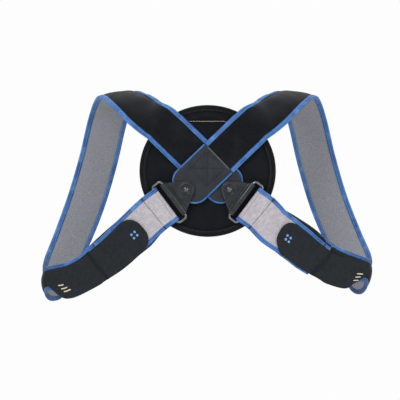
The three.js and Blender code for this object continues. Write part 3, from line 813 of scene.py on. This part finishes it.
def piping(side):
    """Thin binding round the strap end, open at the root: a rounded section carried round the
    outline."""
    half_width = 0.98
    outline = tab_outline(0.95, 220)
    line = outline[outline[:, 0] < SEAM - GAP - 0.01]
    line = line[np.argsort(-np.sign(line[:, 1]) * (line[:, 0] + 60))]
    run = unit(np.gradient(line, axis=0))[:, None]
    angle = turns(16)
    wide, high = superellipse(angle, 2.6)
    along = line[:, :1] + half_width * wide * run[..., 1]
    across = line[:, 1:] - half_width * wide * run[..., 0]
    grid = on_tab(along, across, side.level + PIPING_HALF * (1 + high))
    places = (np.broadcast_to(angle, along.shape), length_along(line)[:, None])
    side.tube("tab_edge", grid, "binding", "strap_end_piping", places)


def tab_stitches(side):
    """Box of stitches with diagonals on the strap end."""
    corners = np.array([(-1, -1), (1, -1), (1, 1), (-1, 1)])
    starts = np.concatenate([BOX_HALF * corners, CROSS_HALF * corners[[0, 3]]])
    ends = np.concatenate([BOX_HALF * np.roll(corners, -1, 0), CROSS_HALF * corners[[2, 1]]])
    rows = []
    for start, end in zip(starts, ends):
        length = np.linalg.norm(end - start)
        run = (end - start) / length
        along, across = (start + np.arange(1.5, length - 1, 2.8)[:, None] * run).T
        place, ahead = (on_tab(along + k * run[0], across + k * run[1], side.level + 1.95) for k in (0, 1))
        rows.append((place, ahead - place, np.broadcast_to(BACK, place.shape)))
    side.threads("tab_stitches", rows, "dark_thread", length=2.2, radius=0.3)


def tab_seam(side):
    """Ridge where the strap end is sewn to the band: a low cord across it."""
    across = np.linspace(-LEG - 0.5, LEG + 0.5, 40)[:, None]
    angle = turns(12)
    width = 0.75 * np.clip(1.2 - np.abs(across / (LEG + 0.6)) ** 8, 0.2, 1)
    level = side.level + TAB_THICKNESS - 0.15 + 0.8 * width * np.sin(angle)
    side.tube("tab_seam", on_tab(SEAM - 0.4 + width * np.cos(angle), across, level), "grey_thread")


# Buckles

def plate_outline(count=180):
    """Nose circle, two straight flanks and a base with rounded corners."""
    lean = math.atan2(PLATE_HALF_BASE, BARREL_PLACE)
    touch = lean + math.acos(PLATE_NOSE / math.hypot(PLATE_HALF_BASE, BARREL_PLACE))
    arc = np.linspace(touch, 2 * math.pi - touch, 60)
    nose = PLATE_NOSE * np.stack([np.cos(arc), np.sin(arc)], 1)
    corner = np.array([[BARREL_PLACE - 1.2, -PLATE_HALF_BASE + 0.8], [BARREL_PLACE, -PLATE_HALF_BASE + 1.6]])
    return evenly(np.concatenate([nose, corner, corner[::-1] * (1, -1), nose[:1]]), count)


def buckle_plate(side):
    """Plate: rings round the rivet that widen to the outline, with a sunk recess, a raised lip
    along the outline and a groove before the barrel. Barrel: a turned sleeve across the base."""
    outline = plate_outline()
    far = np.linalg.norm(outline, axis=1)
    facing = outline.T / far
    one = np.ones(len(far))
    rings, ring_height = np.array([(2.1, 1.9), (3.6, 1.9), (4.7, 1.9), (5.2, 2.0), (5.6, 2.6), (6.0, 3.2),
                                   (6.4, 3.3), (6.9, 3.1), (RECESS_LIP, 3.0)]).T
    share = np.concatenate([np.linspace(0.06, 0.9, 30), [0.93, 0.96, 0.985, 1.0]])[:, None]
    reach = lerp(RECESS_LIP, far, share)
    lip = 0.35 * np.exp(-((far - reach - 1.2) / 0.6) ** 2)
    rounding = 0.7 * np.exp(-((far - reach) / 0.35) ** 2)
    groove = 0.9 * np.exp(-((reach * facing[0] - 12.3) / 0.45) ** 2)
    top = PLATE_THICKNESS + lip - rounding - groove
    height = np.vstack([np.outer(ring_height, one), top, 0.5 * one, 0 * one, 0 * one])
    reach = np.vstack([np.outer(rings, one), reach, far, 0.985 * far, 2.1 * one])
    plate = on_buckle(reach * facing[0], reach * facing[1], side.plate_level + height)
    bore = WIRE_RADIUS + 0.35
    end = np.array([(bore, 0), (BARREL_RADIUS - 0.8, 0), (BARREL_RADIUS - 0.2, 0.3), (BARREL_RADIUS, 1.0)])
    profile = np.vstack([end - (0, BARREL_HALF), [(BARREL_RADIUS, 0)],
                         end[::-1] * (1, -1) + (0, BARREL_HALF), [(bore, 0)]])
    radius, across = profile.T[..., None]
    angle = turns(40)
    level = side.plate_level + PLATE_THICKNESS / 2 + radius * np.sin(angle)
    sleeve = on_buckle(BARREL_PLACE + radius * np.cos(angle), across, level)
    side.skins("plate", [plate[None], sleeve[None]], "plastic", "buckle_plate", looped=True)


def buckle_rivet(side):
    """Turned rivet: a shank, a low rim and a domed middle, as radius and height."""
    profile = np.array([(0.02, -2), (1.8, -2), (1.8, 2), (2.6, 2), (2.75, 2.2), (2.65, 2.5), (2.35, 2.65),
                        (2.1, 2.7), (1.8, 2.95), (1.45, 3.25), (1.0, 3.48), (0.5, 3.6), (0.02, 3.62)])
    radius, height = profile.T[..., None]
    angle = turns(32)
    grid = on_buckle(radius * np.cos(angle), radius * np.sin(angle), side.plate_level + height)
    side.tube("rivet", grid, "rivet", "buckle_rivet")


def buckle_ring(side):
    """Round wire carried round a rectangle with round corners, tilted from barrel to fold."""
    axis_level = side.plate_level + PLATE_THICKNESS / 2
    drop = axis_level - RING_LEVEL
    tilt = math.atan2(drop, RING_DEPTH)
    half_depth = math.hypot(RING_DEPTH, drop) / 2
    quarters = np.linspace(0, math.pi / 2, 12) + np.arange(4)[:, None] * math.pi / 2
    hands = np.array([(1, 1), (-1, 1), (-1, -1), (1, -1)])
    centres = hands * (half_depth - RING_CORNER, RING_HALF - RING_CORNER) + (half_depth, 0)
    corners = centres[:, None] + RING_CORNER * np.stack([np.cos(quarters), np.sin(quarters)], -1)
    drawn = corners.reshape(-1, 2)
    line = evenly(np.concatenate([drawn, drawn[:1]]), 150)
    run = unit(np.roll(line, -1, 0) - np.roll(line, 1, 0))
    angle = turns(14)
    along = line[:, :1] + WIRE_RADIUS * np.cos(angle) * run[:, 1:]
    across = line[:, 1:] - WIRE_RADIUS * np.cos(angle) * run[:, :1]
    rise = WIRE_RADIUS * np.sin(angle)
    level = axis_level - along * math.sin(tilt) + rise * math.cos(tilt)
    grid = on_buckle(BARREL_PLACE + along * math.cos(tilt) + rise * math.sin(tilt), across, level)
    side.tube("ring", grid, "steel", "buckle_ring", looped=True)


# Fastening bands and closing straps

def drift_at(side, reach):
    return side.drift * smoothstep(reach, DRIFT_START, DRIFT_REACH) - side.shift


def web_out(reach):
    """Middle of the fastening band out from the seat: flat on the band, and up to the wire."""
    return lerp(WIRE_OUT + FOLD_RADIUS, WEB_OUT, smoothstep(reach, 0, FOLD_RISE))


def folded_line(side, ends_at):
    """Middle line of the fastening band: flat on the band, up to the wire, half a turn round it
    and a short return. Gives distance, out and turn for each section."""
    share = np.linspace(0, 1, 14)[:-1]
    reach = np.concatenate([np.linspace(ends_at, FOLD_RISE, 76), FOLD_RISE * share[::-1]])
    turn = np.linspace(0, math.pi, 22)[1:]
    back = np.concatenate([FOLD_RISE * share[1:], np.linspace(FOLD_RISE, FOLD_RETURN, 5)])
    under = lerp(WIRE_OUT - FOLD_RADIUS, RETURN_OUT, smoothstep(back, 0, FOLD_RISE))
    line = np.concatenate([[-reach, web_out(reach), 0 * reach],
                           [FOLD_RADIUS * np.sin(turn), WIRE_OUT + FOLD_RADIUS * np.cos(turn), turn],
                           [-back, under, 0 * back + math.pi]], 1)
    return line + [[side.path.length], [0], [0]]


def web_strip(side, label, node, finish, low, high, thick, power, extra=0.0, columns=26):
    """A strip of the fastening band between two lines across: a rounded section carried along the
    folded line. Gives the piece and its length."""
    distance, out, turn = folded_line(side, side.band + extra)
    seat, _, outward, _ = side.path.at(distance)
    length = length_along(seat + outward * out[:, None])
    distance, out, turn = distance[:, None], out[:, None], turn[:, None]
    wide, above = superellipse(turns(columns), power)
    centre = drift_at(side, side.path.length - distance) + (low + high) / 2
    across = centre + (high - low) / 2 * wide
    grid = side.path.place(distance, across, thick / 2 * above, turn, out)
    return side.tube(label, grid, finish, node, (across - centre, length[:, None])), length[-1]


def fastening_band(side):
    half, inner = WEB_WIDTH / 2, WEB_WIDTH / 2 - WEB_EDGE_WIDTH
    core = inner + 0.1
    web, length = web_strip(side, "web", "fastening_band", "webbing", -core, core, thick=1.24, power=9,
                            extra=1.5, columns=60)
    for hand, low, high, extra in (("lower", inner, half, -side.slant), ("upper", -half, -inner, 0)):
        web_strip(side, f"web_edge_{hand}", f"fastening_binding_{hand}", "binding", low, high,
                  thick=WEB_EDGE_THICKNESS + 0.1, power=2.8, extra=extra)


def web_stitches(side):
    """Thread rows along the bindings, the seam across the band and the row close to the fold."""
    reach = np.arange(9, side.band - 1, 2.9)
    distance = side.path.length - reach
    _, along, outward, _ = side.path.at(distance)
    rows = []
    for hand in (-1, 1):
        line = hand * (WEB_WIDTH / 2 - WEB_EDGE_WIDTH + 0.9) + drift_at(side, reach)
        rows.append((side.path.place(distance, line, web_out(reach) + 0.85), along, outward))
    side.threads("web_stitches", rows, "blue_thread", length=2.0, radius=0.28)
    for label, reach, pitch, thick, finish in (("seam", WEB_SEAM, 1.7, 0.3, "dark_thread"),
                                               ("fold_row", 0.5, 1.9, 0.2, "grey_thread")):
        line = np.arange(-16, 16.1, pitch) + drift_at(side, reach)
        distance = np.full(len(line), side.path.length - reach)
        _, _, outward, sideways = side.path.at(distance)
        place = side.path.place(distance, line, web_out(reach) + 0.6)
        side.threads(f"web_{label}", [(place, sideways, outward)], finish, length=pitch * 0.95, radius=thick)


def bartacks(side):
    """Dense short stitches over the bindings: a pair by the ring and one near the far end."""
    middle = WEB_WIDTH / 2 - WEB_EDGE_WIDTH / 2
    across = np.linspace(-2.1, 2.1, 9)
    out = WEB_OUT + 0.95 - 0.5 * np.abs(across / 2.1) ** 3
    rows = []
    for reach, line in ((WEB_SEAM, -middle), (WEB_SEAM, middle), (side.band - 9, -middle)):
        for shift in (-0.35, 0.35):
            distance = np.full(len(across), side.path.length - reach + shift)
            _, _, outward, sideways = side.path.at(distance)
            place = side.path.place(distance, line + across + drift_at(side, reach), out)
            rows.append((place, sideways, outward))
    side.threads("bartacks", rows, "dark_thread", length=0.9, radius=0.42)


def closing_place(side, distance):
    """Middle line across, half width and out of the closing strap at each distance: its width
    follows a round tip, and it steps down off the fastening band's end."""
    band_end = side.path.length - side.band
    up = smoothstep(distance, band_end - GAP - CLOSING_STEP, band_end - GAP)
    aside = smoothstep(distance, side.closing_end, band_end)
    centre = (side.cover - CLOSING_UPPER) / 2 + aside * drift_at(side, side.path.length - distance)
    in_curve = np.clip(distance + CLOSING_TIP - side.path.length + side.tip, 0, CLOSING_TIP)
    half = (side.cover + CLOSING_UPPER) / 2 - CLOSING_TIP + np.sqrt(CLOSING_TIP ** 2 - in_curve ** 2)
    return centre, half, lerp(CLOSING_LOW_OUT, CLOSING_OUT, up)


def closing_strap(side):
    """Flat strap with rounded edges from its slanting end to its round tip, with a crease where it
    passes over the fastening band's end."""
    end, tip = side.closing_end, side.path.length - side.tip
    straight = np.linspace(end, tip - CLOSING_TIP, 110)[:-1]
    distance = np.concatenate([straight, tip - CLOSING_TIP * (1 - np.sin(np.linspace(0, math.pi / 2, 26)))])
    distance = distance[:, None]
    centre, half, out = closing_place(side, distance)
    wide, high = superellipse(turns(48), 7)
    crease_at = side.path.length - side.band - 2.5 + side.slant * (1 + wide) / 2
    crease = np.exp(-((distance - crease_at) / 2.1) ** 2)
    slant = (2 * (1 + wide) + 13 * np.clip(wide, 0, 1) ** 5) * (1 - smoothstep(distance, end, end + 40))
    lift = out - 0.5 * crease
    grid = side.path.place(distance + slant, centre + half * wide, CLOSING_FACE * high, 0, lift)
    piece = side.tube("closing", grid, "closing_strap", "closing_strap", (half * wide, distance))
    # Painted shade along the crease, read by the strap's finish
    add_shade(piece, 0.85 * crease, len(wide))


def on_closing(side, distance, across):
    """Places on the outside of the closing strap, from its middle line, and their directions
    along, across and out."""
    centre, _, out = closing_place(side, distance)
    _, along, outward, sideways = side.path.at(distance)
    return side.path.place(distance, centre + across, out + CLOSING_FACE), along, sideways, outward


def closing_dots(side):
    """Four raised round dots in a square near the tip: each a low dome of rings."""
    spots = 2.3 * np.array([(-1, -1), (-1, 1), (1, 1), (1, -1)])
    middle = side.path.length - side.tip - 12
    vectors = on_closing(side, middle + spots[:, 0], spots[:, 1])
    place, along, sideways, outward = (value[:, None, None] for value in vectors)
    profile = np.array([(0.05, -0.3), (1.4, -0.3), (1.45, 0.05), (1.2, 0.3), (0.7, 0.4), (0.05, 0.42)])
    radius, height = profile.T[..., None, None]
    angle = turns(20)[:, None]
    ring = along * np.cos(angle) + sideways * np.sin(angle)
    side.skins("dots", [place + radius * ring + height * outward], "blue_print")


def closing_bars(side):
    """Raised slanted bars: each a rounded box carried along its own line on the strap, narrower at
    its ends."""
    taper = np.array([0.7, 1, 1, 1, 1, 1, 1, 1, 0.7])
    count = len(side.bars)
    far, across, slant = np.repeat(side.bars, len(taper), axis=0).T
    share = np.tile(np.linspace(-5, 5, len(taper)), count)
    distance = side.path.length + far + share * np.cos(slant)
    place, along, sideways, outward = on_closing(side, distance, across + share * np.sin(slant))
    normal = sideways * np.cos(slant)[:, None] - along * np.sin(slant)[:, None]
    wide, high = (value[:, None] for value in superellipse(turns(12), 4))
    section = 0.75 * wide * normal[:, None] + 0.3 * high * outward[:, None]
    grid = place[:, None] + section * np.tile(taper, count)[:, None, None]
    side.skins("bars", [grid.reshape(count, len(taper), len(wide), 3)], "cream_print")


# Back pad

def on_oval(radius, angle):
    """x and z on the pad's oval, whose height is a little less than its width."""
    return radius * np.cos(angle), radius * np.sin(angle) * PAD_SQUASH


def free_of_straps(x, z):
    """1 where nothing lies on the pad, 0 under the straps, buckles and fastening bands."""
    away = np.abs(x) * math.sin(STRAP_ANGLE) - np.abs(z - CROSSING_HEIGHT) * math.cos(STRAP_ANGLE)
    return smoothstep(np.abs(away), EDGE + 3, EDGE + 15)


def pad_panel():
    """Panel: rings from the middle to the edge, domed in the free sectors and falling to the rim,
    and back under it."""
    edge = PAD_RADIUS - RIM_WIDTH + 0.2
    inner = np.array([7.5, 6, 4.6, 3.3, 2.2, 1.2, 0.4, 0])
    under = ((edge, 0.8), (edge - 1, 0.1), (0.05, 0.1))
    radius = np.concatenate([np.linspace(0.05, edge - 9, 34), edge - inner, [ring for ring, _ in under]])
    radius = radius[:, None]
    x, z = on_oval(radius, turns(160))
    fall = smoothstep(edge - radius, 0, 8)
    level = PANEL_EDGE + fall * (PANEL_RISE + PANEL_DOME * free_of_straps(x, z))
    level[-len(under):] = [[low] for _, low in under]
    tube("pad_panel", np.stack([x, -level, z], -1), "pad_velour", "back_pad")


def pad_rim():
    """Rim: a rounded section carried round the pad, with a dent under its stitches."""
    wide, high = superellipse(turns(36), 3.0)
    dent = 0.35 * np.exp(-((wide * 3.2 + 1.7) / 0.5) ** 2) * (high > 0)
    radius = PAD_RADIUS - RIM_WIDTH / 2 + (RIM_WIDTH / 2 - 0.05) * wide
    x, z = on_oval(radius, turns(200)[:, None])
    grid = np.stack(np.broadcast_arrays(x, dent - RIM_THICKNESS / 2 * (1 + high), z), -1)
    tube("pad_edge", grid, "pad_rim", "back_pad_rim", looped=True)


def rim_stitches():
    angle = turns(150)
    x, z = on_oval(PAD_RADIUS - RIM_WIDTH / 2 - 1.7, angle)
    place = np.stack([x, 0 * x - RIM_THICKNESS + 0.35, z], 1)
    along = unit(np.stack([-np.sin(angle), 0 * angle, np.cos(angle) * PAD_SQUASH], 1))
    rows = stitches(place, along, np.broadcast_to(BACK, place.shape), length=2.1, radius=0.3)
    add_piece("pad_edge_stitches", [rows], "dark_thread")


def label_patch():
    """Patch between a straight foot and the arc of the pad's flat, its sides along the bands, with
    a thread row along its foot."""
    up = np.linspace(0, 1, 14)[:, None]
    aside = np.linspace(-1, 1, 60)
    x = aside * lerp(LABEL_FOOT_HALF, LABEL_TOP_HALF, up)
    z = lerp(LABEL_FOOT, np.sqrt(LABEL_ARC ** 2 - x ** 2), up)
    thick = 0.75 * np.sqrt(np.clip(1 - (2 * up - 1) ** 8, 0, 1) * np.clip(1 - aside ** 20, 0, 1))
    low = PAD_THICKNESS + GAP + 0.15
    upper, lower = np.stack([x, -low - 0.1 - thick, z], -1), np.stack([x, -low + 0 * x, z], -1)
    tube("label_patch", np.concatenate([upper, lower[:, ::-1]], 1), "label", "pad_label")
    x = np.arange(-19.25, 19.3, 1.75)
    place = np.stack([x, 0 * x - low - 0.85, 0 * x + LABEL_FOOT + 0.9], 1)
    along, outward = (np.broadcast_to(way, place.shape) for way in ([1.0, 0.0, 0.0], BACK))
    add_piece("label_stitches", [stitches(place, along, outward, length=1.6, radius=0.28)], "cream_thread")


# Camera, light and floor

def add_camera():
    camera = add_object("camera", bpy.data.cameras.new("camera"))
    camera.location = (VIEW_CENTRE[0] / 1000, -VIEW_DISTANCE / 1000, VIEW_CENTRE[1] / 1000)
    camera.rotation_euler = (math.pi / 2, 0, 0)
    camera.data.sensor_width = SENSOR
    camera.data.lens = SENSOR * VIEW_DISTANCE / VIEW_WIDTH
    camera.data.clip_end = 60
    bpy.context.scene.camera = camera


def add_light(name, place, size, power):
    """A square light that points at the origin."""
    lamp = add_object(name, bpy.data.lights.new(name, "AREA"))
    lamp.data.size = size
    lamp.data.energy = power
    lamp.location = place
    lamp.rotation_euler = (-lamp.location).to_track_quat("-Z", "Y").to_euler()


def add_floor():
    angle = turns(64)
    level = np.full(len(angle), FLOOR_LEVEL)
    points = np.stack([FLOOR_RADIUS * np.cos(angle), FLOOR_RADIUS * np.sin(angle), level], 1)
    mesh = bpy.data.meshes.new("floor")
    mesh.from_pydata(points.tolist(), [], [list(range(len(angle)))])
    mesh.materials.append(floor_finish())
    add_object("floor", mesh)


def add_world():
    """Pale backdrop, and a dimmer soft light from all round."""
    world = bpy.data.worlds.new("studio")
    world.use_nodes = True
    nodes, links = world.node_tree.nodes, world.node_tree.links
    surround = nodes["Background"]
    surround.inputs["Color"].default_value = (0.97, 0.98, 1, 1)
    surround.inputs["Strength"].default_value = 0.55
    backdrop = nodes.new("ShaderNodeBackground")
    backdrop.inputs["Color"].default_value = (0.985, 0.985, 0.985, 1)
    seen = nodes.new("ShaderNodeLightPath")
    mixed = nodes.new("ShaderNodeMixShader")
    links.new(seen.outputs["Is Camera Ray"], mixed.inputs["Fac"])
    links.new(surround.outputs["Background"], mixed.inputs[1])
    links.new(backdrop.outputs["Background"], mixed.inputs[2])
    links.new(mixed.outputs["Shader"], nodes["World Output"].inputs["Surface"])
    bpy.context.scene.world = world
    bpy.context.scene.view_settings.view_transform = "Standard"


add_camera()
add_world()
add_light("key", (-1.1, -2.2, 1.5), 1.2, 30)
add_light("fill", (1.6, -1.8, 0.6), 1.6, 12)
add_light("top", (0.2, 0.6, 2.2), 1.4, 16)
add_floor()
for add_part in (pad_panel, pad_rim, rim_stitches, label_patch):
    add_part()
for side_sizes in SIDES:
    brace_side = Side(**side_sizes)
    for add_part in (band_face, band_inside, band_edges, band_stitches, strap_end, piping, tab_stitches,
                     tab_seam, buckle_plate, buckle_rivet, buckle_ring, fastening_band, web_stitches,
                     bartacks, closing_strap, closing_dots, closing_bars):
        add_part(brace_side)
